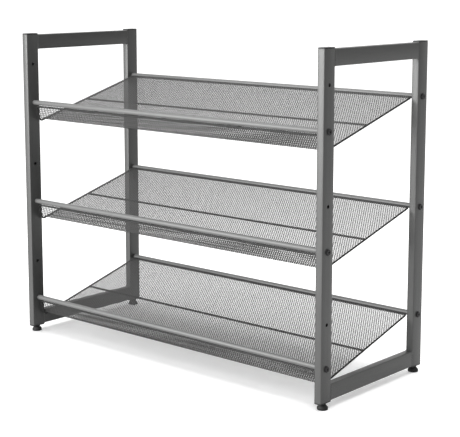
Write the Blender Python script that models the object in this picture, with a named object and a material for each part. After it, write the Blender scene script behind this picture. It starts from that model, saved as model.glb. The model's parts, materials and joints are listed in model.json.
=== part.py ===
"""Three-tier shoe rack: two welded side frames, three bolted mesh shelves that tilt, four levelling feet.

Metres, +Z up, +X to the right, -Y to the front. The origin is on the floor under the middle of the rack.
"""

import math

import bmesh
import bpy
from mathutils import Matrix, Vector

# Driving sizes of the rack.
RACK_WIDTH = 0.782
RACK_DEPTH = 0.3186
POST_LENGTH = 0.618
SHELF_COUNT = 3

# Rectangular steel tube of the side frames.
TUBE_THICK = 0.015
TUBE_BROAD = 0.030
TUBE_WALL = 0.0012
TUBE_CORNER = 0.0016

# Heights of the shelf hinges, taken along the post tube, and the two front holes either side of them.
TOP_HINGE_DROP = 0.1008
BOTTOM_HINGE_RISE = 0.0998
FRONT_HOLE_OFFSET = 0.0398
HOLE_PLAY = 0.0004

# Plastic end pieces of the posts.
CAP_FLANGE = 0.0024
CAP_SPIGOT = 0.012
CAP_WALL = 0.0013
FLANGE_EDGE = 0.0007

# Levelling feet.
FOOT_DIAMETER = 0.020
FOOT_NECK_DIAMETER = 0.0115
FOOT_SIDE = 0.0042
FOOT_HEIGHT = 0.0112
FOOT_EDGE = 0.0009
STUD_DIAMETER = 0.006
STUD_LENGTH = 0.026
STUD_SEAT = 0.0035

# Shelf bolts.
BOLT_HEAD_DIAMETER = 0.0118
BOLT_HEAD_HEIGHT = 0.0028
BOLT_DOME = 0.0011
BOLT_SHANK_DIAMETER = 0.006
BOLT_REACH = 0.012
SOCKET_FLATS = 0.004
SOCKET_DEPTH = 0.0017

# Round bars of the shelves: a tube with a threaded sleeve welded into each end, sized round the bolt.
BAR_WALL = 0.0010
SLEEVE_WALL = 0.0007
SLEEVE_LENGTH = 0.016
BAR_END_GAP = 0.0005

# Wire frame, cross wire, expanded-metal sheet and the short welded tabs of the shelves.
FRAME_WIRE = 0.0036
CROSS_WIRE = 0.0036
WIRE_BEND = 0.0060
WIRE_TO_POST = 0.0042
CROSS_WIRE_SETBACK = 0.1530
SHEET_THICK = 0.0006
SHEET_RISE = 0.0015
SHEET_BEND = 0.0045
SHEET_MARGIN = 0.0012
TAB_WIDTH = 0.0080
TAB_THICK = 0.0022
TAB_HEIGHT = 0.0012
TAB_COUNT = 3

# Gap between pieces that touch, and the play of a shaft in its hole.
GAP = 0.0003
PLAY = 0.0003

ROUND_SIDES = 16
SMALL_SIDES = 12
CORNER_STEPS = 3
BEND_STEPS = 4

# Sizes that follow from the ones above.
POST_FLOOR = FOOT_HEIGHT + GAP + CAP_FLANGE + GAP
POST_TOP = POST_FLOOR + POST_LENGTH
POST_X = (RACK_WIDTH - TUBE_THICK) / 2
POST_Y = (RACK_DEPTH - TUBE_BROAD) / 2
INNER_FACE_X = POST_X - TUBE_THICK / 2
BOLT_SPAN = 2 * POST_Y
TILT = 2 * math.atan2(FRONT_HOLE_OFFSET, BOLT_SPAN)
HOLE_DIAMETER = BOLT_SHANK_DIAMETER + 2 * HOLE_PLAY
BAR_BORE_RADIUS = BOLT_SHANK_DIAMETER / 2 + PLAY
BAR_RADIUS = BAR_BORE_RADIUS + SLEEVE_WALL + BAR_WALL
WIRE_RADIUS = FRAME_WIRE / 2
WIRE_PLANE = SHEET_RISE - SHEET_THICK / 2 - GAP - WIRE_RADIUS
LIP_WIRE_DROP = BAR_RADIUS + TAB_HEIGHT + WIRE_RADIUS + 2 * GAP
SIDE_WIRE_X = INNER_FACE_X - WIRE_TO_POST - WIRE_RADIUS

SIDES = {"left": -1, "right": 1}
ENDS = {"front": -1, "rear": 1}
SHELF_NAMES = ("bottom", "middle", "top")


def hinge_height(tier):
    """Height of a shelf's hinge over the floor. The tiers share the post evenly."""
    lowest = POST_FLOOR + BOTTOM_HINGE_RISE
    highest = POST_TOP - TOP_HINGE_DROP
    return lowest + (highest - lowest) * tier / (SHELF_COUNT - 1)


def new_material(name, colour, roughness, metallic):
    material = bpy.data.materials.new(name)
    material.use_nodes = True
    shader = material.node_tree.nodes["Principled BSDF"]
    shader.inputs["Base Color"].default_value = (*colour, 1.0)
    shader.inputs["Roughness"].default_value = roughness
    shader.inputs["Metallic"].default_value = metallic
    material.diffuse_color = (*colour, 1.0)
    return material


def mesh_from(shape, name):
    """Closes a bmesh into a mesh whose faces point out."""
    bmesh.ops.recalc_face_normals(shape, faces=shape.faces)
    mesh = bpy.data.meshes.new(name)
    shape.to_mesh(mesh)
    shape.free()
    return mesh


def add_object(name, data, material, parent=None, location=(0, 0, 0), rotation=(0, 0, 0)):
    thing = bpy.data.objects.new(name, data)
    bpy.context.scene.collection.objects.link(thing)
    if material.name not in data.materials:
        data.materials.append(material)
    thing.parent = parent
    thing.location = location
    thing.rotation_euler = rotation
    return thing


def add_empty(name, location, rotation=(0, 0, 0)):
    empty = bpy.data.objects.new(name, None)
    bpy.context.scene.collection.objects.link(empty)
    empty.location = location
    empty.rotation_euler = rotation
    return empty


def add_cutter(name, mesh):
    """A helper that a Boolean takes away, left out of the finished object."""
    cutter = bpy.data.objects.new(name, mesh)
    bpy.context.scene.collection.objects.link(cutter)
    cutter.hide_render = True
    cutter.display_type = "WIRE"
    return cutter


def cut(target, cutter):
    boolean = target.modifiers.new("cut_" + cutter.name, "BOOLEAN")
    boolean.operation = "DIFFERENCE"
    boolean.solver = "EXACT"
    boolean.object = cutter


def smooth(mesh, angle=35):
    mesh.shade_smooth()
    mesh.set_sharp_from_angle(angle=math.radians(angle))
    return mesh


def rounded_rectangle(width, height, radius):
    """Points round a rectangle with its corners rounded, centred on the origin."""
    points = []
    for quarter in range(4):
        start = quarter * math.pi / 2
        across = 1 if quarter in (0, 3) else -1
        along = 1 if quarter in (0, 1) else -1
        centre = Vector((across * (width / 2 - radius), along * (height / 2 - radius)))
        for step in range(CORNER_STEPS + 1):
            angle = start + step / CORNER_STEPS * math.pi / 2
            points.append(centre + radius * Vector((math.cos(angle), math.sin(angle))))
    return points


def ring(shape, outline, height):
    return [shape.verts.new((point.x, point.y, height)) for point in outline]


def join_rings(shape, lower, upper):
    """Quads between two rings with the same number of points."""
    count = len(lower)
    for i in range(count):
        after = (i + 1) % count
        shape.faces.new((lower[i], lower[after], upper[after], upper[i]))


def rectangular_tube(name, length):
    """Hollow rectangular tube along Z from z = 0, its broad face across Y."""
    inner_corner = max(TUBE_CORNER - TUBE_WALL, TUBE_WALL / 3)
    outer = rounded_rectangle(TUBE_THICK, TUBE_BROAD, TUBE_CORNER)
    inner = rounded_rectangle(TUBE_THICK - 2 * TUBE_WALL, TUBE_BROAD - 2 * TUBE_WALL, inner_corner)
    shape = bmesh.new()
    rings = [ring(shape, outline, z) for z in (0, length) for outline in (outer, inner)]
    outer_low, inner_low, outer_high, inner_high = rings
    join_rings(shape, outer_low, inner_low)
    join_rings(shape, inner_low, inner_high)
    join_rings(shape, inner_high, outer_high)
    join_rings(shape, outer_high, outer_low)
    return smooth(mesh_from(shape, name))


def turned(name, profile, sides, closed_ring=False):
    """A solid of revolution about Z. The profile is (radius, height) points, on the axis at both ends,
    or a closed ring of points clear of the axis."""
    shape = bmesh.new()
    points = [shape.verts.new((radius, 0, height)) for radius, height in profile]
    edges = [shape.edges.new(pair) for pair in zip(points, points[1:])]
    if closed_ring:
        edges.append(shape.edges.new((points[-1], points[0])))
    bmesh.ops.spin(
        shape,
        geom=points + edges,
        cent=(0, 0, 0),
        axis=(0, 0, 1),
        angle=2 * math.pi,
        steps=sides,
        use_merge=True,
    )
    bmesh.ops.remove_doubles(shape, verts=shape.verts, dist=1e-6)
    return smooth(mesh_from(shape, name))


def baked(name, thing):
    """The mesh of an object with its modifiers applied. The object and its cutters are removed."""
    bpy.context.view_layer.update()
    graph = bpy.context.evaluated_depsgraph_get()
    mesh = bpy.data.meshes.new_from_object(thing.evaluated_get(graph))
    mesh.name = name
    for modifier in list(thing.modifiers):
        bpy.data.objects.remove(modifier.object)
    bpy.data.objects.remove(thing)
    return smooth(mesh)


def cylinder_along_x(shape, radius, length, centre, sides):
    turn = Matrix.Translation(centre) @ Matrix.Rotation(math.pi / 2, 4, "Y")
    bmesh.ops.create_cone(
        shape, cap_ends=True, segments=sides, radius1=radius, radius2=radius, depth=length, matrix=turn
    )


def filleted_path(corners, radius, closed):
    """A path with each corner replaced by an arc of the given radius."""
    count = len(corners)
    path = []
    for i, corner in enumerate(corners):
        if not closed and i in (0, count - 1):
            path.append(Vector(corner))
            continue
        here = Vector(corner)
        back = (Vector(corners[i - 1]) - here).normalized()
        ahead = (Vector(corners[(i + 1) % count]) - here).normalized()
        half = back.angle(ahead) / 2
        centre = here + (back + ahead).normalized() * radius / math.sin(half)
        start = here + back * radius / math.tan(half) - centre
        finish = here + ahead * radius / math.tan(half) - centre
        sweep = start.angle(finish)
        for step in range(BEND_STEPS + 1):
            share = step / BEND_STEPS
            path.append(
                centre
                + start * (math.sin((1 - share) * sweep) / math.sin(sweep))
                + finish * (math.sin(share * sweep) / math.sin(sweep))
            )
    return path


def wire(name, path, diameter, closed):
    """A round wire as a curve with a bevel, closed on itself or with filled ends."""
    curve = bpy.data.curves.new(name, "CURVE")
    curve.dimensions = "3D"
    spline = curve.splines.new("POLY")
    spline.points.add(len(path) - 1)
    for point, place in zip(spline.points, path):
        point.co = (*place, 1.0)
    spline.use_cyclic_u = closed
    spline.use_smooth = True
    curve.bevel_depth = diameter / 2
    curve.bevel_resolution = 2
    curve.use_fill_caps = not closed
    return curve


# ---------------------------------------------------------------- side frames


def hole_cutter(name, heights):
    """Pins that drill both walls of a post at each height."""
    shape = bmesh.new()
    for height in heights:
        cylinder_along_x(shape, HOLE_DIAMETER / 2, TUBE_THICK * 1.6, (0, 0, height), SMALL_SIDES)
    return add_cutter(name, mesh_from(shape, name))


def post_mesh(name, heights):
    blank = add_cutter(name + "_blank", rectangular_tube(name, POST_LENGTH))
    cut(blank, hole_cutter(name + "_holes", heights))
    return baked(name, blank)


def build_posts(steel):
    hinges = [hinge_height(tier) - POST_FLOOR for tier in range(SHELF_COUNT)]
    front_heights = [height + shift for height in hinges for shift in (-FRONT_HOLE_OFFSET, FRONT_HOLE_OFFSET)]
    meshes = {"front": post_mesh("front_post", front_heights), "rear": post_mesh("rear_post", hinges)}
    for side, across in SIDES.items():
        for end, along in ENDS.items():
            place = (across * POST_X, along * POST_Y, POST_FLOOR)
            add_object(f"{side}_{end}_post", meshes[end], steel, location=place)


def build_rails(steel):
    """Top and bottom rails between the posts of each side frame, flush with the post's ends."""
    length = RACK_DEPTH - 2 * TUBE_BROAD - 2 * GAP
    mesh = rectangular_tube("rail", length)
    # The tube is laid along Y, which leaves its broad face upright.
    lay = (math.pi / 2, 0, 0)
    levels = {"top": POST_TOP - TUBE_BROAD / 2, "bottom": POST_FLOOR + TUBE_BROAD / 2}
    for side, across in SIDES.items():
        for level, height in levels.items():
            place = (across * POST_X, length / 2, height)
            add_object(f"{side}_{level}_rail", mesh, steel, location=place, rotation=lay)


def end_cap_mesh(name, bore):
    """Moulded plug: a flange over the tube's end and a spigot inside it, upright with the flange on top.
    With a bore it is solid and drilled for the foot's stud, and without one it is a hollow cup."""
    shape = bmesh.new()
    spigot_width = TUBE_THICK - 2 * TUBE_WALL - 2 * GAP
    spigot_height = TUBE_BROAD - 2 * TUBE_WALL - 2 * GAP
    corner = max(TUBE_CORNER - TUBE_WALL - GAP, TUBE_WALL / 4)
    spigot = rounded_rectangle(spigot_width, spigot_height, corner)
    flange = rounded_rectangle(TUBE_THICK, TUBE_BROAD, TUBE_CORNER)
    face = rounded_rectangle(TUBE_THICK - 2 * FLANGE_EDGE, TUBE_BROAD - 2 * FLANGE_EDGE, TUBE_CORNER)
    rings = [
        ring(shape, face, CAP_FLANGE),
        ring(shape, flange, CAP_FLANGE - FLANGE_EDGE),
        ring(shape, flange, 0),
        ring(shape, spigot, 0),
        ring(shape, spigot, -CAP_SPIGOT),
    ]
    if not bore:
        cup = rounded_rectangle(spigot_width - 2 * CAP_WALL, spigot_height - 2 * CAP_WALL, corner)
        rings.append(ring(shape, cup, -CAP_SPIGOT))
        rings.append(ring(shape, cup, -CAP_WALL))
    for lower, upper in zip(rings, rings[1:]):
        join_rings(shape, lower, upper)
    shape.faces.new(rings[0])
    shape.faces.new(rings[-1])
    mesh = mesh_from(shape, name)
    if not bore:
        return smooth(mesh)
    blank = add_cutter(name + "_blank", mesh)
    drill = bmesh.new()
    bmesh.ops.create_cone(
        drill, cap_ends=True, segments=SMALL_SIDES, radius1=bore / 2, radius2=bore / 2, depth=4 * CAP_SPIGOT
    )
    cut(blank, add_cutter(name + "_drill", mesh_from(drill, name + "_drill")))
    return baked(name, blank)


def build_end_pieces(plastic):
    top = end_cap_mesh("top_cap", 0)
    bottom = end_cap_mesh("foot_socket", STUD_DIAMETER + 2 * PLAY)
    for side, across in SIDES.items():
        for end, along in ENDS.items():
            x = across * POST_X
            y = along * POST_Y
            add_object(f"{side}_{end}_top_cap", top, plastic, location=(x, y, POST_TOP + GAP))
            below = (x, y, POST_FLOOR - GAP)
            add_object(f"{side}_{end}_foot_socket", bottom, plastic, location=below, rotation=(math.pi, 0, 0))


def build_feet(plastic, steel):
    """A moulded pad on a threaded stud, which screws up into the foot socket."""
    radius = FOOT_DIAMETER / 2
    neck = FOOT_NECK_DIAMETER / 2
    seat = STUD_DIAMETER / 2 + GAP
    pad_profile = [
        (0, 0),
        (radius - FOOT_EDGE, 0),
        (radius, FOOT_EDGE),
        (radius, FOOT_SIDE),
        (neck, FOOT_HEIGHT - FOOT_EDGE),
        (neck, FOOT_HEIGHT),
        (seat, FOOT_HEIGHT),
        (seat, STUD_SEAT),
        (0, STUD_SEAT),
    ]
    pad = turned("foot_pad", pad_profile, ROUND_SIDES)
    stud_radius = STUD_DIAMETER / 2
    chamfer = stud_radius / 4
    stud_profile = [
        (0, 0),
        (stud_radius, 0),
        (stud_radius, STUD_LENGTH - chamfer),
        (stud_radius - chamfer, STUD_LENGTH),
        (0, STUD_LENGTH),
    ]
    stud = turned("foot_stud", stud_profile, SMALL_SIDES)
    for side, across in SIDES.items():
        for end, along in ENDS.items():
            foot = add_empty(f"{side}_{end}_foot", (across * POST_X, along * POST_Y, 0))
            add_object(f"{side}_{end}_foot_pad", pad, plastic, parent=foot)
            seated = (0, 0, STUD_SEAT + GAP)
            add_object(f"{side}_{end}_foot_stud", stud, steel, parent=foot, location=seated)


# ---------------------------------------------------------------- bolts


def bolt_mesh(name, reach):
    """Domed bolt with a hexagon socket. Its head stands on z = 0 and its shank runs down."""
    head = BOLT_HEAD_DIAMETER / 2
    shank = BOLT_SHANK_DIAMETER / 2
    point = shank / 4
    profile = [
        (0, -reach),
        (shank - point, -reach),
        (shank, point - reach),
        (shank, 0),
        (head, 0),
        (head, BOLT_HEAD_HEIGHT - BOLT_DOME),
        (head - BOLT_DOME, BOLT_HEAD_HEIGHT),
        (0, BOLT_HEAD_HEIGHT),
    ]
    blank = add_cutter(name + "_blank", turned(name, profile, ROUND_SIDES))
    key = bmesh.new()
    across_corners = SOCKET_FLATS / math.cos(math.pi / 6)
    where = Matrix.Translation((0, 0, BOLT_HEAD_HEIGHT))
    bmesh.ops.create_cone(
        key,
        cap_ends=True,
        segments=6,
        radius1=across_corners / 2,
        radius2=across_corners / 2,
        depth=2 * SOCKET_DEPTH,
        matrix=where,
    )
    cut(blank, add_cutter(name + "_key", mesh_from(key, name + "_key")))
    return baked(name, blank)


def build_bolts(steel):
    """The rear bolts reach into the rear tubes and are the hinge pins. The front bolts end inside the post,
    so that the front tube can leave them when the shelf is set level."""
    through = TUBE_THICK + GAP
    meshes = {
        "rear": bolt_mesh("rear_bolt", through + BAR_END_GAP + BOLT_REACH),
        "front": bolt_mesh("front_bolt", through - GAP),
    }
    drops = {"rear": 0, "front": FRONT_HOLE_OFFSET}
    for tier in range(SHELF_COUNT):
        for side, across in SIDES.items():
            for end, along in ENDS.items():
                face = across * (RACK_WIDTH / 2 + GAP)
                place = (face, along * POST_Y, hinge_height(tier) - drops[end])
                name = f"{SHELF_NAMES[tier]}_shelf_{side}_{end}_bolt"
                turn = (0, across * math.pi / 2, 0)
                add_object(name, meshes[end], steel, location=place, rotation=turn)


# ---------------------------------------------------------------- shelves


def bar_mesh():
    """Round tube about Z with a threaded sleeve in each end, bored for the bolts."""
    length = 2 * (INNER_FACE_X - BAR_END_GAP)
    bore = BAR_BORE_RADIUS
    inside = BAR_RADIUS - BAR_WALL
    profile = [
        (BAR_RADIUS, -length / 2),
        (BAR_RADIUS, length / 2),
        (bore, length / 2),
        (bore, length / 2 - SLEEVE_LENGTH),
        (inside, length / 2 - SLEEVE_LENGTH),
        (inside, SLEEVE_LENGTH - length / 2),
        (bore, SLEEVE_LENGTH - length / 2),
        (bore, -length / 2),
    ]
    return turned("shelf_bar", profile, ROUND_SIDES, closed_ring=True)


def wire_rear_y():
    """The rear wire lies a gap in front of the rear bar."""
    reach = BAR_RADIUS + GAP + WIRE_RADIUS
    return -math.sqrt(reach**2 - WIRE_PLANE**2)


def lip_wire_z():
    return FRONT_HOLE_OFFSET - LIP_WIRE_DROP


def frame_wire_curve():
    """One loop of wire: behind the sheet, down both sides, up the lip and along under the front bar."""
    rear = wire_rear_y()
    lip = -BOLT_SPAN
    corners = [
        (-SIDE_WIRE_X, rear, WIRE_PLANE),
        (-SIDE_WIRE_X, lip, WIRE_PLANE),
        (-SIDE_WIRE_X, lip, lip_wire_z()),
        (SIDE_WIRE_X, lip, lip_wire_z()),
        (SIDE_WIRE_X, lip, WIRE_PLANE),
        (SIDE_WIRE_X, rear, WIRE_PLANE),
    ]
    return wire("frame_wire", filleted_path(corners, WIRE_BEND, True), FRAME_WIRE, True)


def cross_wire_curve():
    """Straight wire across under the middle of the sheet, from side wire to side wire."""
    half = SIDE_WIRE_X - WIRE_RADIUS - GAP
    y = -CROSS_WIRE_SETBACK
    z = SHEET_RISE - SHEET_THICK / 2 - GAP - CROSS_WIRE / 2
    return wire("cross_wire", [(-half, y, z), (half, y, z)], CROSS_WIRE, False)


def sheet_mesh():
    """Expanded-metal sheet as a plain plate, folded up at the front to make the lip."""
    back = -(BAR_RADIUS + GAP)
    lip = -BOLT_SPAN + WIRE_RADIUS + GAP + SHEET_THICK / 2
    top = FRONT_HOLE_OFFSET - BAR_RADIUS - SHEET_MARGIN
    path = filleted_path([(0, back, SHEET_RISE), (0, lip, SHEET_RISE), (0, lip, top)], SHEET_BEND, False)
    shape = bmesh.new()
    left = [shape.verts.new((-SIDE_WIRE_X, point.y, point.z)) for point in path]
    edges = [shape.edges.new(pair) for pair in zip(left, left[1:])]
    swept = bmesh.ops.extrude_edge_only(shape, edges=edges)["geom"]
    moved = [item for item in swept if isinstance(item, bmesh.types.BMVert)]
    bmesh.ops.translate(shape, verts=moved, vec=(2 * SIDE_WIRE_X, 0, 0))
    return mesh_from(shape, "shelf_sheet")


def tab_mesh():
    """Short flat tab between the front bar and the lip wire, rounded in plan."""
    outline = rounded_rectangle(TAB_WIDTH, TAB_THICK, TAB_THICK / 2.2)
    shape = bmesh.new()
    low = ring(shape, outline, -TAB_HEIGHT / 2)
    high = ring(shape, outline, TAB_HEIGHT / 2)
    join_rings(shape, low, high)
    shape.faces.new(low)
    shape.faces.new(high)
    return smooth(mesh_from(shape, "lip_tab"))


def build_shelves(steel, wire_steel, sheet_steel):
    """Each shelf is modelled level about its rear bar, and its empty then tilts it to its lower stop."""
    bar = bar_mesh()
    frame_wire = frame_wire_curve()
    cross_wire = cross_wire_curve()
    sheet = sheet_mesh()
    tab = tab_mesh()
    along_x = (0, math.pi / 2, 0)
    bar_place = {"rear": (0, 0, 0), "front": (0, -BOLT_SPAN, FRONT_HOLE_OFFSET)}
    tab_z = (FRONT_HOLE_OFFSET - BAR_RADIUS + lip_wire_z() + WIRE_RADIUS) / 2
    tab_pitch = 2 * INNER_FACE_X / (TAB_COUNT + 1)
    for tier in range(SHELF_COUNT):
        shelf = SHELF_NAMES[tier] + "_shelf"
        pivot = add_empty(shelf + "_pivot", (0, POST_Y, hinge_height(tier)), (TILT, 0, 0))
        for end, place in bar_place.items():
            add_object(f"{shelf}_{end}_bar", bar, steel, pivot, place, along_x)
        add_object(shelf + "_frame_wire", frame_wire, wire_steel, pivot)
        add_object(shelf + "_cross_wire", cross_wire, wire_steel, pivot)
        plate = add_object(shelf + "_mesh_sheet", sheet, sheet_steel, pivot)
        thicken = plate.modifiers.new("thicken", "SOLIDIFY")
        thicken.thickness = SHEET_THICK
        thicken.offset = 0
        thicken.use_even_offset = True
        for number in range(TAB_COUNT):
            x = (number - (TAB_COUNT - 1) / 2) * tab_pitch
            add_object(f"{shelf}_lip_tab_{number + 1}", tab, wire_steel, pivot, (x, -BOLT_SPAN, tab_z))


for leftover in list(bpy.data.objects):
    bpy.data.objects.remove(leftover)

frame_steel = new_material("grey_powder_coat", (0.075, 0.076, 0.074), 0.42, 0.35)
bar_steel = new_material("grey_bar_coat", (0.16, 0.16, 0.16), 0.38, 0.40)
rod_steel = new_material("grey_wire_coat", (0.10, 0.10, 0.10), 0.42, 0.40)
mesh_steel = new_material("grey_mesh_coat", (0.20, 0.20, 0.20), 0.45, 0.40)
black_plastic = new_material("black_plastic", (0.018, 0.018, 0.018), 0.50, 0.0)
black_steel = new_material("black_bolt_steel", (0.020, 0.020, 0.021), 0.40, 0.60)
zinc_steel = new_material("zinc_stud_steel", (0.55, 0.55, 0.56), 0.35, 1.0)

build_posts(frame_steel)
build_rails(frame_steel)
build_end_pieces(black_plastic)
build_feet(black_plastic, zinc_steel)
build_bolts(black_steel)
build_shelves(bar_steel, rod_steel, mesh_steel)
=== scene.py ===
"""Grey steel shoe rack: two welded side frames, three sloping mesh shelves and four levelling feet."""

import json
import math

import bmesh
import bpy
from mathutils import Matrix, Vector


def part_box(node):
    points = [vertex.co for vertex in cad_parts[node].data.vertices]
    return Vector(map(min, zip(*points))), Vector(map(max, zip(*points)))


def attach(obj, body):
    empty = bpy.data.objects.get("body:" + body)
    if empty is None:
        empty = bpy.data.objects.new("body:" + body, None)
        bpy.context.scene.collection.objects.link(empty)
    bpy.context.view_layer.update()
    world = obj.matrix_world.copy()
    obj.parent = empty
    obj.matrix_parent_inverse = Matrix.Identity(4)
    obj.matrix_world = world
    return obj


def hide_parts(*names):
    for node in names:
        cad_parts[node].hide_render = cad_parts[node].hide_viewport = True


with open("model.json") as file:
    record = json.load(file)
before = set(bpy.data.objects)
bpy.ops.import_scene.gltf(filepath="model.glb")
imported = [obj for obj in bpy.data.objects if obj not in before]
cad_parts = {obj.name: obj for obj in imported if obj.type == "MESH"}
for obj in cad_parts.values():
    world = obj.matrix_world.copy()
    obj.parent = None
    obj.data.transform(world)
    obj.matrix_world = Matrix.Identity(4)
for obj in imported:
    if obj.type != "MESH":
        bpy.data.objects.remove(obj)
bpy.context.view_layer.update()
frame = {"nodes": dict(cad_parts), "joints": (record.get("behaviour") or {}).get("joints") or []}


# ---------------------------------------------------------------- posts and rails
# Each side frame is two posts and two rails of 15 x 30 mm steel tube with rounded corners, welded together.
# The frame is then powder coated in gunmetal, which is satin, faintly metallic and thinnest on the corners,
# where a painted highlight also lightens its colour.


class Signal:
    """A socket in a finish's node tree. Arithmetic on it adds Math nodes."""

    def __init__(self, finish, socket):
        self.finish = finish
        self.socket = socket

    def math(self, operation, first, second):
        return self.finish.node("ShaderNodeMath", {"operation": operation}, {0: first, 1: second})

    def __add__(self, other):
        return self.math("ADD", self, other)

    __radd__ = __add__

    def __sub__(self, other):
        return self.math("SUBTRACT", self, other)

    def __rsub__(self, other):
        return self.math("SUBTRACT", other, self)

    def __mul__(self, other):
        return self.math("MULTIPLY", self, other)

    __rmul__ = __mul__


class Finish:
    """A material, and the one way to add a node to it."""

    def __init__(self, name, **constants):
        self.material = bpy.data.materials.new(name)
        self.material.use_nodes = True
        self.tree = self.material.node_tree
        self.shader = self.tree.nodes["Principled BSDF"]
        for socket, value in constants.items():
            self.shader.inputs[socket.replace("_", " ")].default_value = value

    def feed(self, socket, value):
        if isinstance(value, Signal):
            self.tree.links.new(value.socket, socket)
        else:
            socket.default_value = value

    def node(self, kind, settings=None, inputs=None, output=0):
        made = self.tree.nodes.new(kind)
        for name, value in (settings or {}).items():
            if name == "stops":
                for stop, (position, colour) in zip(made.color_ramp.elements, value):
                    stop.position = position
                    stop.color = colour
            else:
                setattr(made, name, value)
        for name, value in (inputs or {}).items():
            self.feed(made.inputs[name], value)
        return Signal(self, made.outputs[output])

    def noise(self, place, scale, detail=2.0, roughness=0.5):
        values = {"Vector": place, "Scale": scale, "Detail": detail, "Roughness": roughness}
        return self.node("ShaderNodeTexNoise", {}, values, "Fac")

    def ramp(self, value, low, high):
        """0 below low, 1 above high, and a smooth rise between them."""
        settings = {"interpolation_type": "SMOOTHSTEP"}
        inputs = {"Value": value, "From Min": low, "From Max": high}
        return self.node("ShaderNodeMapRange", settings, inputs)

    def blend(self, factor, first, second):
        settings = {"data_type": "RGBA"}
        return self.node("ShaderNodeMix", settings, {"Factor": factor, 6: first, 7: second}, 2)

    def edges(self, radius):
        """1 along sharp edges and tight corners, 0 on the open surface."""
        bevelled = self.node("ShaderNodeBevel", {"samples": 6}, {"Radius": radius})
        true = self.node("ShaderNodeNewGeometry", output="True Normal")
        dot = {"operation": "DOT_PRODUCT"}
        agree = self.node("ShaderNodeVectorMath", dot, {0: bevelled, 1: true}, "Value")
        return self.ramp(1 - agree, 0.01, 0.16)

    def bump(self, height, depth, strength=1.0):
        inputs = {"Height": height, "Distance": depth, "Strength": strength}
        return self.node("ShaderNodeBump", {}, inputs, "Normal")

    def set_input(self, socket, value):
        self.feed(self.shader.inputs[socket], value)


def powder_coat(name, tone, roughness, metal, corner_highlight_width=0.0012, sheen=0.5):
    """Baked powder over steel: orange peel, metal fleck, cloudy tone and, given a width, corners lightened by
    a painted highlight over the thinner coat there.
    """
    coat = Finish(name)
    coat.shader.inputs["Metallic"].default_value = metal
    coat.shader.inputs["Specular IOR Level"].default_value = sheen
    place = coat.node("ShaderNodeTexCoord", output="Object")
    cloud = coat.noise(place, 14, 3)
    peel = coat.noise(place, 900, 2)
    fleck = coat.ramp(coat.noise(place, 2600, 1), 0.56, 0.72)
    dark = (tone[0] * 0.88, tone[1] * 0.88, tone[2] * 0.88, 1)
    light = (tone[0] * 1.12, tone[1] * 1.12, tone[2] * 1.12, 1)
    # A light tone for the metal fleck, and for the painted highlight on the corners.
    fleck_and_highlight = (tone[0] * 2.1, tone[1] * 2.1, tone[2] * 2.1, 1)
    body = coat.blend(cloud * 0.7 + peel * 0.3, dark, light)
    flecked = coat.blend(fleck * 0.25, body, fleck_and_highlight)
    satin = roughness + (cloud - 0.5) * 0.14 + (peel - 0.5) * 0.10
    if corner_highlight_width:
        # Corner mask: a painted highlight lightens the corners, partly standing for the thinner coat there.
        thin_coat_and_highlight = coat.edges(corner_highlight_width) * coat.ramp(coat.noise(place, 60, 3), 0.30, 0.62)
        coat.set_input("Base Color", coat.blend(thin_coat_and_highlight * 0.45, flecked, fleck_and_highlight))
        coat.set_input("Roughness", satin - thin_coat_and_highlight * 0.06)
    else:
        coat.set_input("Base Color", flecked)
        coat.set_input("Roughness", satin)
    coat.set_input("Normal", coat.bump(peel + fleck * 0.2, 0.00014, 0.5))
    return coat.material


def softened(angle=40):
    """A modifier's node group that joins a node's facets and shades them smooth up to an angle."""
    group = bpy.data.node_groups.new("softened", "GeometryNodeTree")
    group.interface.new_socket("Geometry", in_out="INPUT", socket_type="NodeSocketGeometry")
    group.interface.new_socket("Geometry", in_out="OUTPUT", socket_type="NodeSocketGeometry")
    entry = group.nodes.new("NodeGroupInput")
    leave = group.nodes.new("NodeGroupOutput")
    drop = group.nodes.new("GeometryNodeRemoveAttribute")
    drop.inputs["Name"].default_value = "custom_normal"
    merge = group.nodes.new("GeometryNodeMergeByDistance")
    merge.inputs["Distance"].default_value = 1e-6
    smooth = group.nodes.new("GeometryNodeSetShadeSmooth")
    fold = group.nodes.new("GeometryNodeInputMeshEdgeAngle")
    steep = group.nodes.new("ShaderNodeMath")
    steep.operation = "GREATER_THAN"
    steep.inputs[1].default_value = math.radians(angle)
    crease = group.nodes.new("GeometryNodeSetShadeSmooth")
    crease.domain = "EDGE"
    crease.inputs["Shade Smooth"].default_value = False
    for source, target in (
        (entry.outputs[0], drop.inputs["Geometry"]),
        (drop.outputs[0], merge.inputs["Geometry"]),
        (merge.outputs[0], smooth.inputs["Geometry"]),
        (smooth.outputs[0], crease.inputs["Geometry"]),
        (fold.outputs["Unsigned Angle"], steep.inputs[0]),
        (steep.outputs[0], crease.inputs["Selection"]),
        (crease.outputs[0], leave.inputs[0]),
    ):
        group.links.new(source, target)
    return group


soft_shading = softened()


def dress(node, material):
    """Gives a CAD node its finish and smooth shading."""
    part = frame["nodes"][node]
    for slot in part.material_slots:
        slot.material = material
    part.modifiers.new("softened", "NODES").node_group = soft_shading


SIDES = ("left", "right")
ENDS = ("front", "rear")
FRAME_TONE = (0.043, 0.0434, 0.0426)
frame_coat = powder_coat("gunmetal_powder_coat", FRAME_TONE, roughness=0.40, metal=0.45)
for side in SIDES:
    for end in ENDS:
        dress(f"{side}_{end}_post", frame_coat)
    for level in ("top", "bottom"):
        dress(f"{side}_{level}_rail", frame_coat)


# ---------------------------------------------------------------- frame welds
# A bead of weld metal runs round each rail's end where it meets the post. It is dressed almost flush with the
# faces and coated with the frame.


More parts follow.
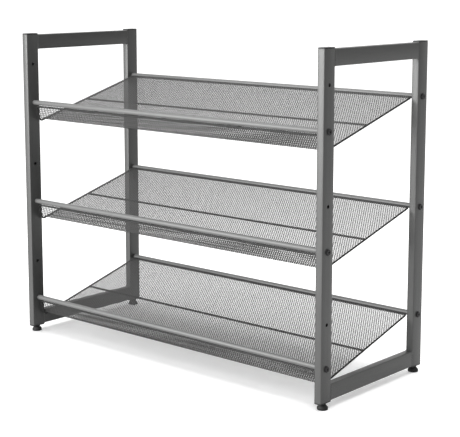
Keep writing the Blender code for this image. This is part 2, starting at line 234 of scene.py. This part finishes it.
def sweep(path, radii, sides=12, closed=False):
    """Points and faces of a round bar along a path, with its own radius at each point."""
    path = [Vector(point) for point in path]
    count = len(path)
    points = []
    across = None
    for i, here in enumerate(path):
        if closed:
            ahead = (path[(i + 1) % count] - path[i - 1]).normalized()
        else:
            ahead = (path[min(i + 1, count - 1)] - path[max(i - 1, 0)]).normalized()
        if across is None:
            across = ahead.orthogonal().normalized()
        across = (across - ahead * across.dot(ahead)).normalized()
        up = ahead.cross(across)
        for k in range(sides):
            turn = 2 * math.pi * k / sides
            points.append(here + radii[i] * (math.cos(turn) * across + math.sin(turn) * up))
    faces = []
    for i in range(count if closed else count - 1):
        low = i * sides
        high = (i + 1) % count * sides
        for k in range(sides):
            after = (k + 1) % sides
            faces.append((low + k, low + after, high + after, high + k))
    if not closed:
        faces.append(tuple(reversed(range(sides))))
        faces.append(tuple(range((count - 1) * sides, count * sides)))
    return points, faces


def solid(name, parts, smooth_angle=40):
    """One mesh from (points, faces) parts, facing out and shaded smooth up to an angle."""
    shape = bmesh.new()
    for points, faces in parts:
        placed = [shape.verts.new(point) for point in points]
        for face in faces:
            shape.faces.new([placed[i] for i in face])
    bmesh.ops.recalc_face_normals(shape, faces=shape.faces)
    mesh = bpy.data.meshes.new(name)
    shape.to_mesh(mesh)
    shape.free()
    mesh.shade_smooth()
    mesh.set_sharp_from_angle(angle=math.radians(smooth_angle))
    return mesh


def piece(name, mesh, material, body, stands_for=(), place=None):
    """A visible piece that rides on a body, in the row's frame or at a given place."""
    thing = bpy.data.objects.new(name, mesh)
    bpy.context.scene.collection.objects.link(thing)
    if not mesh.materials:
        mesh.materials.append(material)
    if place is not None:
        thing.matrix_world = place
    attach(thing, body)
    if stands_for:
        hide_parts(*stands_for)
    return thing


def rippled(path, radius, step, depth, closed=False, taper=0.35):
    """A weld bead: the path cut into short steps, rippled like a weld pool and tapered at open ends."""
    corners = [Vector(point) for point in path]
    if closed:
        corners.append(corners[0])
    points = []
    for start, finish in zip(corners, corners[1:]):
        length = (finish - start).length
        pieces = max(1, round(length / step))
        points += [start.lerp(finish, i / pieces) for i in range(pieces)]
    if not closed:
        points.append(corners[-1])
    radii = []
    for i in range(len(points)):
        pool = math.sin(2.1 * i) + 0.4 * math.sin(0.83 * i + 1)
        radii.append(radius * (1 + depth * pool))
    if not closed:
        radii[0] *= taper
        radii[-1] *= taper
    return sweep(points, radii, sides=10, closed=closed)


BEAD_RADIUS = 0.0013
BEAD_INSET = 0.00085
BEAD_STEP = 0.0006
BEAD_RIPPLE = 0.07
for side in SIDES:
    beads = []
    for level in ("top", "bottom"):
        low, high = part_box(f"{side}_{level}_rail")
        for y in (low.y, high.y):
            ring = [
                (low.x + BEAD_INSET, y, low.z + BEAD_INSET),
                (high.x - BEAD_INSET, y, low.z + BEAD_INSET),
                (high.x - BEAD_INSET, y, high.z - BEAD_INSET),
                (low.x + BEAD_INSET, y, high.z - BEAD_INSET),
            ]
            beads.append(rippled(ring, BEAD_RADIUS, BEAD_STEP, BEAD_RIPPLE, closed=True))
    mesh = solid(f"{side}_frame_welds", beads)
    piece(f"{side}_frame_welds", mesh, frame_coat, "frame")


# ---------------------------------------------------------------- end caps and foot sockets
# Black moulded plugs close the posts. The top ones are plain caps, and the bottom ones carry the thread that
# the feet screw into. Their flanges are as wide as the tube, with a small radius and a fine eroded grain.


def moulded(name, tone, roughness, grain):
    """Moulded black plastic: fine grain, a little dust on the edges and slight flow marks."""
    plastic = Finish(name, Specular_IOR_Level=0.18)
    place = plastic.node("ShaderNodeTexCoord", output="Object")
    grit = plastic.noise(place, grain, 3, 0.6)
    flow = plastic.noise(place, 45, 2)
    rub = plastic.edges(0.0008) * plastic.ramp(plastic.noise(place, 130, 2), 0.35, 0.65)
    dark = (tone * 0.8, tone * 0.8, tone * 0.82, 1)
    light = (tone * 1.3, tone * 1.3, tone * 1.3, 1)
    scuffed = (tone * 3.2, tone * 3.2, tone * 3.1, 1)
    plastic.set_input("Base Color", plastic.blend(rub * 0.5, plastic.blend(flow, dark, light), scuffed))
    plastic.set_input("Roughness", roughness + (grit - 0.5) * 0.16 + (flow - 0.5) * 0.08 - rub * 0.08)
    plastic.set_input("Normal", plastic.bump(grit, 0.00008, 0.5))
    return plastic.material


cap_plastic = moulded("black_moulded_plastic", tone=0.012, roughness=0.46, grain=2200)
for side in SIDES:
    for end in ENDS:
        dress(f"{side}_{end}_top_cap", cap_plastic)
        dress(f"{side}_{end}_foot_socket", cap_plastic)


# ---------------------------------------------------------------- levelling feet
# Each foot is a round black pad moulded on to a zinc-plated M6 stud. It screws up into the foot socket, and
# the stud's thread shows when the foot is screwed out.


def turned(profile, sides=48):
    """Points and faces of a turned solid about Z, from (radius, height) points that start and end on Z."""
    points = []
    faces = []
    rings = []
    for radius, height in profile:
        if radius < 1e-7:
            rings.append([len(points)])
            points.append((0, 0, height))
            continue
        rings.append(list(range(len(points), len(points) + sides)))
        for k in range(sides):
            turn = 2 * math.pi * k / sides
            points.append((radius * math.cos(turn), radius * math.sin(turn), height))
    for low, high in zip(rings, rings[1:]):
        for k in range(sides):
            after = (k + 1) % sides
            if len(low) == 1:
                faces.append((low[0], high[after], high[k]))
            elif len(high) == 1:
                faces.append((low[k], low[after], high[0]))
            else:
                faces.append((low[k], low[after], high[after], high[k]))
    return points, faces


def rounded(corners, radius, steps=4):
    """A profile with each inner corner replaced by an arc."""
    out = [corners[0]]
    for before, thin_coat_and_highlight, after in zip(corners, corners[1:], corners[2:]):
        here = Vector(thin_coat_and_highlight)
        back = Vector(before) - here
        ahead = Vector(after) - here
        half = back.angle(ahead) / 2
        cut = min(radius / math.tan(half), 0.45 * back.length, 0.45 * ahead.length)
        start = here + back.normalized() * cut
        finish = here + ahead.normalized() * cut
        for i in range(steps + 1):
            t = i / steps
            out.append(tuple(start * (1 - t) ** 2 + here * 2 * t * (1 - t) + finish * t**2))
    return out + [corners[-1]]


def threaded(radius, depth, pitch, low, high, sides=24, per_turn=6):
    """Points and faces of a stud with a helical thread along Z, chamfered at its upper end."""
    rows = round((high - low) / pitch * per_turn)
    points = []
    for row in range(rows + 1):
        height = low + (high - low) * row / rows
        narrow = max(0.0, (height - high + pitch) / pitch)
        for k in range(sides):
            phase = (height / pitch - k / sides) % 1
            groove = depth * (1 - abs(2 * phase - 1))
            across = radius - max(groove, narrow * depth * 1.2)
            turn = 2 * math.pi * k / sides
            points.append((across * math.cos(turn), across * math.sin(turn), height))
    faces = [tuple(reversed(range(sides))), tuple(range(rows * sides, (rows + 1) * sides))]
    for row in range(rows):
        low_ring = row * sides
        high_ring = low_ring + sides
        for k in range(sides):
            after = (k + 1) % sides
            faces.append((low_ring + k, low_ring + after, high_ring + after, high_ring + k))
    return points, faces


PAD_SIDE = 0.0042
PAD_NECK = 0.00575
PAD_NECK_HEIGHT = 0.0022
PAD_FLARE = 0.0006
PAD_EDGE = 0.0012
STUD_RADIUS = 0.0030
STUD_FIT = 0.0002
THREAD_PITCH = 0.0010
THREAD_DEPTH = 0.00055

pad_rubber = moulded("black_foot_pad", tone=0.006, roughness=0.55, grain=1500)
zinc = Finish("zinc_plated_steel", Metallic=1.0)
zinc_place = zinc.node("ShaderNodeTexCoord", output="Object")
zinc_cloud = zinc.noise(zinc_place, 260, 3)
zinc.set_input("Base Color", zinc.blend(zinc_cloud, (0.42, 0.43, 0.45, 1), (0.66, 0.66, 0.65, 1)))
zinc.set_input("Roughness", 0.26 + zinc_cloud * 0.16)
zinc.set_input("Normal", zinc.bump(zinc.noise(zinc_place, 3000, 2), 0.00003, 0.4))

for side in SIDES:
    for end in ENDS:
        foot = f"{side}_{end}_foot"
        low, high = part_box(foot + "_pad")
        stud_low, stud_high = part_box(foot + "_stud")
        radius = (high.x - low.x) / 2
        height = high.z - low.z
        seat = STUD_RADIUS + STUD_FIT
        outline = [
            (0, 0),
            (radius, 0),
            (radius, PAD_SIDE),
            (PAD_NECK + PAD_FLARE, height - PAD_NECK_HEIGHT),
            (PAD_NECK, height),
            (seat, height),
            (seat, stud_low.z - STUD_FIT),
            (0, stud_low.z - STUD_FIT),
        ]
        centre = Matrix.Translation(((low.x + high.x) / 2, (low.y + high.y) / 2, 0))
        pad = foot + "_pad_moulding"
        mesh = solid(pad, [turned(rounded(outline, PAD_EDGE))])
        piece(pad, mesh, pad_rubber, foot, [foot + "_pad"], centre)
        stud = foot + "_threaded_stud"
        thread = threaded(STUD_RADIUS, THREAD_DEPTH, THREAD_PITCH, stud_low.z, stud_high.z)
        mesh = solid(stud, [thread], smooth_angle=60)
        piece(stud, mesh, zinc.material, foot, [foot + "_stud"], centre)


# ---------------------------------------------------------------- shelf bolts
# Four black M6 bolts hold each shelf, two through the rear posts as its hinge and two through the front
# posts. They have low domed heads with a hexagon socket, in black oxide that has rubbed at the rim.


TIERS = ("bottom", "middle", "top")
oxide = Finish("black_oxide_steel", Metallic=0.15, Specular_IOR_Level=0.15)
oxide_place = oxide.node("ShaderNodeTexCoord", output="Object")
oxide_cloud = oxide.noise(oxide_place, 420, 3)
oxide_rim = oxide.edges(0.0007) * oxide.ramp(oxide.noise(oxide_place, 300, 2), 0.35, 0.65)
oxide_body = oxide.blend(oxide_cloud, (0.006, 0.006, 0.0065, 1), (0.018, 0.018, 0.0185, 1))
oxide.set_input("Base Color", oxide.blend(oxide_rim * 0.6, oxide_body, (0.14, 0.135, 0.13, 1)))
oxide.set_input("Roughness", 0.32 + oxide_cloud * 0.18 - oxide_rim * 0.06)
oxide.set_input("Normal", oxide.bump(oxide.noise(oxide_place, 2400, 2), 0.00004, 0.4))

for tier in TIERS:
    for side in SIDES:
        for end in ENDS:
            dress(f"{tier}_shelf_{side}_{end}_bolt", oxide.material)


# ---------------------------------------------------------------- shelf bars
# A 10 mm round tube runs along the front and the rear of each shelf, with a threaded sleeve welded into each
# end for the bolts. The rear one is the shelf's hinge.


def shelf_place(tier):
    """The shelf's own frame: X along the rear bar's axis, the panel flat in XY and its lip up along Z."""
    low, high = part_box(tier + "_shelf_rear_bar")
    axis = Matrix.Translation((0, (low.y + high.y) / 2, (low.z + high.z) / 2))
    return axis @ Matrix.Rotation(tilt, 4, "X")


def turned_tube(outer, inner, bore, half_length, sleeve, edge, sides=40):
    """Points and faces of a tube along X with a sleeve in each end."""
    ring = [
        (outer, -half_length + edge),
        (outer, half_length - edge),
        (outer - edge * 0.3, half_length - edge * 0.3),
        (outer - edge, half_length),
        (bore, half_length),
        (bore, half_length - sleeve),
        (inner, half_length - sleeve),
        (inner, sleeve - half_length),
        (bore, sleeve - half_length),
        (bore, -half_length),
        (outer - edge, -half_length),
        (outer - edge * 0.3, -half_length + edge * 0.3),
    ]
    points = []
    for radius, along in ring:
        for k in range(sides):
            turn = 2 * math.pi * k / sides
            points.append((along, radius * math.cos(turn), radius * math.sin(turn)))
    faces = []
    for i in range(len(ring)):
        low = i * sides
        high = (i + 1) % len(ring) * sides
        for k in range(sides):
            after = (k + 1) % sides
            faces.append((low + k, low + after, high + after, high + k))
    return points, faces


hinge = next(joint for joint in frame["joints"] if joint["name"] == "top_shelf_tilt")
tilt = math.radians(hinge["range_deg"][1])
to_shelf = shelf_place("top").inverted()


def shelf_point(node):
    """A CAD node's centre in its shelf's own frame."""
    low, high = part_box(node)
    return to_shelf @ ((low + high) / 2)


bar_low, bar_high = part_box("top_shelf_rear_bar")
BAR_RADIUS = (bar_high.z - bar_low.z) / 2
BAR_HALF = (bar_high.x - bar_low.x) / 2
BAR_INNER = 0.0040
SLEEVE_BORE = 0.0033
SLEEVE_LENGTH = 0.016
BAR_EDGE = 0.0005
FRONT_BAR = shelf_point("top_shelf_front_bar")
# Painted light: the bars' gunmetal colour is set nearly twice as light as the frame's.
LIT_BAR_TONE = (0.080, 0.0804, 0.0796)

# The rear and front tubes take this coat with its painted light.
lit_bar_coat = powder_coat("gunmetal_bar_coat_painted_light", LIT_BAR_TONE, roughness=0.50, metal=0.25, sheen=0.25)
bar_tube = turned_tube(BAR_RADIUS, BAR_INNER, SLEEVE_BORE, BAR_HALF, SLEEVE_LENGTH, BAR_EDGE)
bar_mesh = solid("shelf_tube", [bar_tube])
for tier in TIERS:
    shelf = tier + "_shelf"
    for end, local in (("rear", Vector((0, 0, 0))), ("front", FRONT_BAR)):
        place = shelf_place(tier) @ Matrix.Translation(local)
        node = f"{shelf}_{end}_bar"
        piece(f"{shelf}_{end}_tube", bar_mesh, lit_bar_coat, shelf, [node], place)


# ---------------------------------------------------------------- shelf wires
# One loop of 3.6 mm wire runs behind the panel, down its sides and up round the lip, and a straight wire of
# the same gauge crosses under the middle of the panel. They are resistance-welded to each other, to the rear
# bar and to the sheet, and their coat is given a darker colour than the frame's as painted shade.


def filleted(corners, radius, steps):
    """A closed path with each corner replaced by an arc."""
    path = []
    count = len(corners)
    for i, thin_coat_and_highlight in enumerate(corners):
        here = Vector(thin_coat_and_highlight)
        back = (Vector(corners[i - 1]) - here).normalized()
        ahead = (Vector(corners[(i + 1) % count]) - here).normalized()
        half = back.angle(ahead) / 2
        centre = here + (back + ahead).normalized() * radius / math.sin(half)
        start = here + back * radius / math.tan(half) - centre
        finish = here + ahead * radius / math.tan(half) - centre
        sweep_angle = start.angle(finish)
        for step in range(steps + 1):
            share = step / steps
            first = math.sin((1 - share) * sweep_angle) / math.sin(sweep_angle)
            second = math.sin(share * sweep_angle) / math.sin(sweep_angle)
            path.append(centre + start * first + finish * second)
    return path


FRAME_WIRE = 0.0036
CROSS_WIRE = 0.0036
WIRE_BEND = 0.0060
# Painted shade: the wires' gunmetal colour is set far darker than the frame's.
SHADED_WIRE_TONE = (0.016, 0.0162, 0.0158)
SHEET_THICK = 0.0006
SHEET_RISE = 0.0015
TOUCH = 0.0003
TAB_HEIGHT = 0.0012
WIRE_Z = SHEET_RISE - SHEET_THICK / 2 - TOUCH - FRAME_WIRE / 2
LIP_WIRE_Z = FRONT_BAR.z - BAR_RADIUS - TAB_HEIGHT - 2 * TOUCH - FRAME_WIRE / 2
REAR_WIRE_Y = -math.sqrt((BAR_RADIUS + TOUCH + FRAME_WIRE / 2) ** 2 - WIRE_Z**2)
WIRE_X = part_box("top_shelf_frame_wire")[1].x - FRAME_WIRE / 2
LIP_Y = FRONT_BAR.y
CROSS_Y = shelf_point("top_shelf_cross_wire").y
CROSS_Z = SHEET_RISE - SHEET_THICK / 2 - TOUCH - CROSS_WIRE / 2
CROSS_BITE = 0.0004

# This coat, with its painted shade, also dresses the tacks and the lip welds.
shaded_wire_coat = powder_coat("gunmetal_wire_coat_painted_shade", SHADED_WIRE_TONE, roughness=0.46, metal=0.20, corner_highlight_width=0, sheen=0.15)
loop = filleted(
    [
        (-WIRE_X, REAR_WIRE_Y, WIRE_Z),
        (-WIRE_X, LIP_Y, WIRE_Z),
        (-WIRE_X, LIP_Y, LIP_WIRE_Z),
        (WIRE_X, LIP_Y, LIP_WIRE_Z),
        (WIRE_X, LIP_Y, WIRE_Z),
        (WIRE_X, REAR_WIRE_Y, WIRE_Z),
    ],
    WIRE_BEND,
    steps=10,
)
loop_mesh = solid("frame_wire_loop", [sweep(loop, [FRAME_WIRE / 2] * len(loop), sides=20, closed=True)])
cross_half = WIRE_X - FRAME_WIRE / 2 + CROSS_BITE
cross = [(-cross_half, CROSS_Y, CROSS_Z), (cross_half, CROSS_Y, CROSS_Z)]
cross_mesh = solid("cross_wire_rod", [sweep(cross, [CROSS_WIRE / 2] * 2, sides=18)])

REAR_TACKS = (-0.34, -0.17, 0.0, 0.17, 0.34)
REAR_TACK_HALF = 0.005
REAR_TACK_RADIUS = 0.0014
REAR_TACK_STEP = 0.0007
REAR_TACK_RIPPLE = 0.10
REAR_TACK_Y = 0.71 * REAR_WIRE_Y
REAR_TACK_Z = WIRE_Z - 0.0008
CROSS_TACK_RADIUS = 0.0010
CROSS_TACK_STEP = 0.0004
CROSS_TACK_RIPPLE = 0.08
CROSS_TACK_OFFSET = 0.42 * CROSS_WIRE
CROSS_TACK_LOW = CROSS_Z - 0.0009
CROSS_TACK_HIGH = CROSS_Z + 0.0007
tacks = []
for x in REAR_TACKS:
    run = [(x - REAR_TACK_HALF, REAR_TACK_Y, REAR_TACK_Z), (x + REAR_TACK_HALF, REAR_TACK_Y, REAR_TACK_Z)]
    tacks.append(rippled(run, REAR_TACK_RADIUS, REAR_TACK_STEP, REAR_TACK_RIPPLE))
for across in (-1, 1):
    x = across * (WIRE_X - FRAME_WIRE / 2)
    for along in (-1, 1):
        y = CROSS_Y + along * CROSS_TACK_OFFSET
        run = [(x, y, CROSS_TACK_LOW), (x, y, CROSS_TACK_HIGH)]
        tacks.append(rippled(run, CROSS_TACK_RADIUS, CROSS_TACK_STEP, CROSS_TACK_RIPPLE))
tack_mesh = solid("shelf_tacks", tacks)

for tier in TIERS:
    shelf = tier + "_shelf"
    for suffix, mesh, stands_for in (
        ("_wire_loop", loop_mesh, [shelf + "_frame_wire"]),
        ("_cross_rod", cross_mesh, [shelf + "_cross_wire"]),
        ("_tacks", tack_mesh, []),
    ):
        piece(shelf + suffix, mesh, shaded_wire_coat, shelf, stands_for, shelf_place(tier))


# ---------------------------------------------------------------- lip tabs
# Three short stubs of weld join the lip wire to the front bar. Each is a flat run of bead about 9 mm long,
# filling the gap between the two and rounded at its ends.


def stub(centre, length, height, depth):
    """A flattened weld run along X, swelling in ripples and closing at both ends."""
    count = 17
    points = []
    radii = []
    for i in range(count):
        t = 2 * i / (count - 1) - 1
        points.append((centre[0] + t * length / 2, centre[1], centre[2]))
        radii.append(max(0.12, math.sqrt(max(0.0, 1 - abs(t) ** 3.2))) * (1 + 0.06 * math.sin(i * 2.2)))
    middle = Vector(centre)
    squeeze = Matrix.Diagonal((1, depth / 2, height / 2))
    round_points, faces = sweep(points, radii, sides=14)
    return [middle + squeeze @ (point - middle) for point in round_points], faces


STUB_LENGTH = 0.0090
STUB_HEIGHT = 0.0036
STUB_DEPTH = 0.0030
STUB_Z = (FRONT_BAR.z - BAR_RADIUS + LIP_WIRE_Z + FRAME_WIRE / 2) / 2
for number in (1, 2, 3):
    centre = (shelf_point(f"top_shelf_lip_tab_{number}").x, LIP_Y, STUB_Z)
    mesh = solid(f"lip_weld_{number}", [stub(centre, STUB_LENGTH, STUB_HEIGHT, STUB_DEPTH)])
    for tier in TIERS:
        shelf = tier + "_shelf"
        weld = f"{shelf}_lip_weld_{number}"
        tab = f"{shelf}_lip_tab_{number}"
        piece(weld, mesh, shaded_wire_coat, shelf, [tab], shelf_place(tier))


# ---------------------------------------------------------------- expanded-metal sheets
# The panel and lip of each shelf are one run of raised expanded metal, slit and drawn from 0.4 mm steel into
# diamonds 4.8 mm across and 8.3 mm along the slope. It lies on the wire frame and folds up behind the lip
# wire. A rear and a front piece meet over the cross wire.


DIAMOND_X = 0.0048
DIAMOND_Y = 0.0083
STRAND = 0.00130
STRAND_THICK = 0.00040
STRAND_TWIST = 0.00010
STRAND_CROWN = 0.00003
MESH_TONE = (0.032, 0.0318, 0.0315)

SHEET_BEND = 0.0045
SHEET_ARC = SHEET_BEND * math.pi / 2
SHEET_MARGIN = 0.0002
SHEET_TOP_MARGIN = 0.0008
SHEET_REAR = -0.0047
SHEET_LIP = LIP_Y + FRAME_WIRE / 2 + TOUCH + SHEET_THICK / 2
SHEET_FLAT = SHEET_REAR - SHEET_LIP - SHEET_BEND
SHEET_RISER = FRONT_BAR.z - BAR_RADIUS - SHEET_TOP_MARGIN - SHEET_RISE - SHEET_BEND
SHEET_LENGTH = SHEET_FLAT + SHEET_ARC + SHEET_RISER
SHEET_HALF = WIRE_X + FRAME_WIRE / 2 - SHEET_MARGIN
COLUMNS = round(2 * SHEET_HALF / DIAMOND_X)
COLUMN = SHEET_HALF / COLUMNS
ROWS = round(SHEET_LENGTH / (DIAMOND_Y / 2))
ROW = SHEET_LENGTH / ROWS
MIDDLE_ROW = round(-CROSS_Y / ROW)


def sheet_path(distance):
    """(y, z, slope angle) at a distance along the sheet's middle, from its rear edge over the bend."""
    if distance <= SHEET_FLAT:
        return SHEET_REAR - distance, SHEET_RISE, 0.0
    if distance <= SHEET_FLAT + SHEET_ARC:
        turn = (distance - SHEET_FLAT) / SHEET_BEND
        y = SHEET_LIP + SHEET_BEND - SHEET_BEND * math.sin(turn)
        return y, SHEET_RISE + SHEET_BEND * (1 - math.cos(turn)), turn
    return SHEET_LIP, SHEET_RISE + SHEET_BEND + distance - SHEET_FLAT - SHEET_ARC, math.pi / 2


def expanded(first_row, last_row):
    """Points and faces of the diamonds whose centres lie in these half rows, from the rear edge down."""
    shrink = 1 - STRAND / 2 / (COLUMN * ROW / math.hypot(COLUMN, ROW))
    points = []
    faces = []
    joints = {}
    rim = {}

    def both(x, distance, lift):
        """Adds a point on the sheet's upper side and one on its under side."""
        y, z, turn = sheet_path(distance)
        normal = Vector((0, math.sin(turn), math.cos(turn)))
        here = Vector((x, y, z))
        points.append(here + normal * (lift + STRAND_THICK / 2))
        points.append(here + normal * (lift - STRAND_THICK / 2))
        return len(points) - 2

    def joint(column, row):
        """The point where four strands meet, made once."""
        if (column, row) not in joints:
            joints[column, row] = both((column - COLUMNS) * COLUMN, row * ROW, 0)
        return joints[column, row]

    for row in range(first_row, last_row):
        for column in range(1 + row % 2, 2 * COLUMNS, 2):
            around = ((column + 1, row), (column, row - 1), (column - 1, row), (column, row + 1))
            corners = [joint(*spot) for spot in around]
            x = (column - COLUMNS) * COLUMN
            hole = [
                both(x + shrink * COLUMN, row * ROW, -STRAND_CROWN),
                both(x, (row - shrink) * ROW, -STRAND_TWIST),
                both(x - shrink * COLUMN, row * ROW, -STRAND_CROWN),
                both(x, (row + shrink) * ROW, STRAND_TWIST),
            ]
            for k in range(4):
                after = (k + 1) % 4
                faces.append((corners[k], corners[after], hole[after], hole[k]))
                faces.append((corners[after] + 1, corners[k] + 1, hole[k] + 1, hole[after] + 1))
                faces.append((hole[k], hole[after], hole[after] + 1, hole[k] + 1))
                if (corners[after], corners[k]) in rim:
                    del rim[corners[after], corners[k]]
                else:
                    rim[corners[k], corners[after]] = True
    for start, finish in rim:
        faces.append((finish, start, start + 1, finish + 1))
    return points, faces


mesh_coat = powder_coat("gunmetal_mesh_coat", MESH_TONE, roughness=0.42, metal=0.12, corner_highlight_width=0, sheen=0.12)
halves = {
    "rear": solid("rear_sheet", [expanded(1, MIDDLE_ROW)], smooth_angle=30),
    "front": solid("front_sheet", [expanded(MIDDLE_ROW, ROWS)], smooth_angle=30),
}
for tier in TIERS:
    shelf = tier + "_shelf"
    for end, mesh in halves.items():
        sheet = f"{shelf}_{end}_expanded_sheet"
        plate = shelf + "_mesh_sheet"
        piece(sheet, mesh, mesh_coat, shelf, [plate], shelf_place(tier))


# ---------------------------------------------------------------- studio
# A pale floor that runs out of view and glows faintly, so its shadows stay soft, and a white surround that
# is darker to the right. A broad light hangs overhead, and two soft lights at the front are kept off the
# floor. The camera stands at the rack's front right, a little above its top.


FLOOR_REACH = 15
corners = [(x * FLOOR_REACH, y * FLOOR_REACH, 0) for x, y in ((-1, -1), (1, -1), (1, 1), (-1, 1))]
floor_mesh = bpy.data.meshes.new("studio_floor")
floor_mesh.from_pydata(corners, [], [(0, 1, 2, 3)])
floor = bpy.data.objects.new("studio_floor", floor_mesh)
bpy.context.scene.collection.objects.link(floor)
paper = Finish("pale_paper", Specular_IOR_Level=0.1, Emission_Strength=0.22)
paper_place = paper.node("ShaderNodeTexCoord", output="Object")
paper_fibre = paper.noise(paper_place, 300, 3)
paper.set_input("Base Color", paper.blend(paper_fibre, (0.90, 0.90, 0.90, 1), (0.92, 0.92, 0.92, 1)))
paper.set_input("Roughness", 0.85 + paper_fibre * 0.1)
paper.set_input("Emission Color", paper.blend(paper_fibre, (0.98, 0.98, 0.98, 1), (1.0, 1.0, 1.0, 1)))
floor_mesh.materials.append(paper.material)

DARK_SIDE = (0.94, 0.34, 0)
WHITE = 1.25
DARK = 0.12
world = bpy.data.worlds.new("white_surround")
world.use_nodes = True
sky = world.node_tree.nodes["Background"]
sky.inputs["Color"].default_value = (1, 1, 1, 1)
direction = world.node_tree.nodes.new("ShaderNodeTexCoord")
toward = world.node_tree.nodes.new("ShaderNodeVectorMath")
toward.operation = "DOT_PRODUCT"
toward.inputs[1].default_value = DARK_SIDE
drape = world.node_tree.nodes.new("ShaderNodeMapRange")
drape.interpolation_type = "SMOOTHSTEP"
for name, value in {"From Min": 0.60, "From Max": 0.90, "To Min": WHITE, "To Max": DARK}.items():
    drape.inputs[name].default_value = value
world.node_tree.links.new(direction.outputs["Generated"], toward.inputs[0])
world.node_tree.links.new(toward.outputs["Value"], drape.inputs["Value"])
world.node_tree.links.new(drape.outputs["Result"], sky.inputs["Strength"])
bpy.context.scene.world = world
bpy.context.scene.view_settings.view_transform = "Standard"

off_floor = bpy.data.collections.new("off_floor")
off_floor.objects.link(floor)
off_floor.collection_objects[0].light_linking.link_state = "EXCLUDE"


def soft_light(name, place, aim, size, power, reach=None):
    """A rectangular light that points at its aim and lights only what its reach allows."""
    lamp = bpy.data.lights.new(name, "AREA")
    lamp.shape = "RECTANGLE"
    lamp.size, lamp.size_y = size
    lamp.energy = power
    thing = bpy.data.objects.new(name, lamp)
    thing.location = place
    thing.rotation_mode = "QUATERNION"
    thing.rotation_quaternion = (Vector(aim) - Vector(place)).to_track_quat("-Z", "Y")
    thing.light_linking.receiver_collection = reach
    bpy.context.scene.collection.objects.link(thing)


soft_light("overhead", (0, 0.2, 2.4), (0, 0, 0.3), (2.4, 2.0), 42)
soft_light("front_left", (-1.45, -2.7, 1.0), (0.1, -0.1, 0.45), (1.7, 1.7), 172, off_floor)
soft_light("front", (0.2, -3.0, 1.5), (0, 0, 0.4), (1.6, 1.2), 134, off_floor)

CAMERA_PLACE = (1.6756, -1.8680, 0.7572)
CAMERA_PITCH = -8.884
CAMERA_YAW = 41.181
camera = bpy.data.cameras.new("camera")
camera.sensor_width = 36
camera.lens = 99.61826
camera.shift_y = -0.10
viewpoint = bpy.data.objects.new("camera", camera)
viewpoint.location = CAMERA_PLACE
viewpoint.rotation_euler = (math.radians(90 + CAMERA_PITCH), 0, math.radians(CAMERA_YAW))
bpy.context.scene.collection.objects.link(viewpoint)
bpy.context.scene.camera = viewpoint
